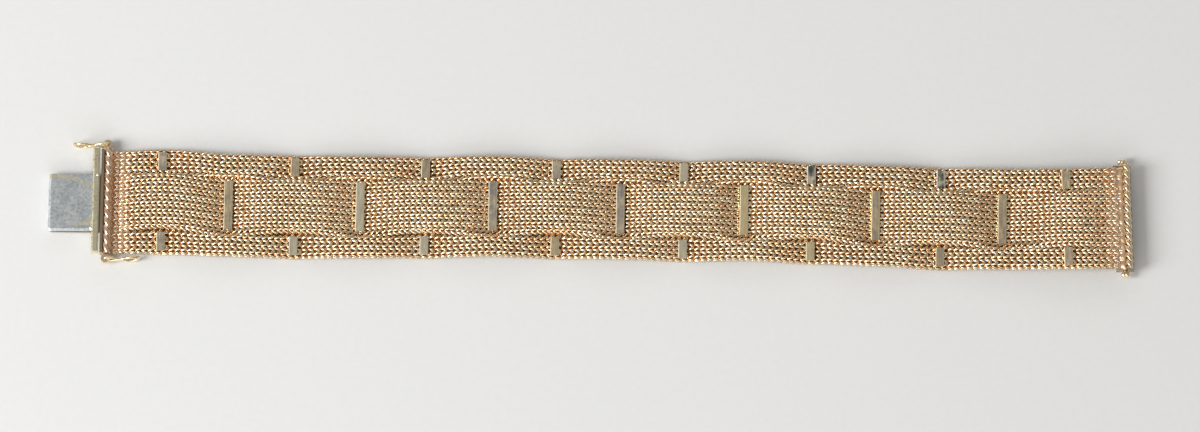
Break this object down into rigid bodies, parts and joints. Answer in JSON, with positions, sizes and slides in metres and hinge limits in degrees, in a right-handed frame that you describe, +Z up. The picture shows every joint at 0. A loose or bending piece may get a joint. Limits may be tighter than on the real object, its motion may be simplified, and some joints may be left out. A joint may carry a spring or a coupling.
{
  "type": "woven gold bracelet with box clasp",
  "caption": "Flexible woven gold mesh bracelet, open and flat, with flat bars that draw it into a basket pattern, rope-trimmed ends, a box clasp and wire safety catches.",
  "frame": {"origin": "on the surface it lies on, under the middle of its length and width", "axes": "+X along the bracelet from the tongue to the clasp box, +Y across it, +Z up from the surface"},
  "size_m": [0.1956, 0.023, 0.0039],
  "materials": {
    "mesh_gold": "polished woven yellow gold",
    "bar_gold": "satin pale gold",
    "clasp_gold": "satin gold",
    "white_gold": "worn satin white gold",
    "rose_gold": "dull rose gold",
    "rope_gold": "polished gold",
    "catch_gold": "polished gold wire"
  },
  "bodies": {
    "bracelet": {"woven_band": "mesh_gold", "long_bar_1": "bar_gold", "long_bar_2": "bar_gold", "long_bar_3": "bar_gold", "long_bar_4": "bar_gold", "long_bar_5": "bar_gold", "long_bar_6": "bar_gold", "long_bar_7": "bar_gold", "upper_bar_1": "bar_gold", "upper_bar_2": "bar_gold", "upper_bar_3": "bar_gold", "upper_bar_4": "bar_gold", "upper_bar_5": "bar_gold", "upper_bar_6": "bar_gold", "upper_bar_7": "bar_gold", "upper_bar_8": "bar_gold", "lower_bar_1": "bar_gold", "lower_bar_2": "bar_gold", "lower_bar_3": "bar_gold", "lower_bar_4": "bar_gold", "lower_bar_5": "bar_gold", "lower_bar_6": "bar_gold", "lower_bar_7": "bar_gold", "lower_bar_8": "bar_gold", "tongue_terminal": "clasp_gold", "tongue_rope": "rose_gold", "clasp_box": "clasp_gold", "box_rope": "rope_gold"},
    "spring_leaf": {"spring_leaf": "white_gold"},
    "upper_catch": {"upper_catch": "catch_gold"},
    "lower_catch": {"lower_catch": "catch_gold"}
  },
  "joints": [
    {"name": "thumb_press", "type": "hinge", "parent": "bracelet", "child": "spring_leaf", "pos_m": [-0.0972, -0.0003, 0.001], "axis": [0, 1, 0], "range_deg": [0, 3.5], "stiffness_Nm_per_rad": 0.02, "springref_deg": -5.73},
    {"name": "upper_catch_swing", "type": "hinge", "parent": "bracelet", "child": "upper_catch", "pos_m": [-0.08722, 0.0107, 0.00136], "axis": [0, 0, 1], "range_deg": [-180, 0]},
    {"name": "lower_catch_swing", "type": "hinge", "parent": "bracelet", "child": "lower_catch", "pos_m": [-0.08722, -0.0107, 0.00136], "axis": [0, 0, 1], "range_deg": [-180, 0]}
  ]
}
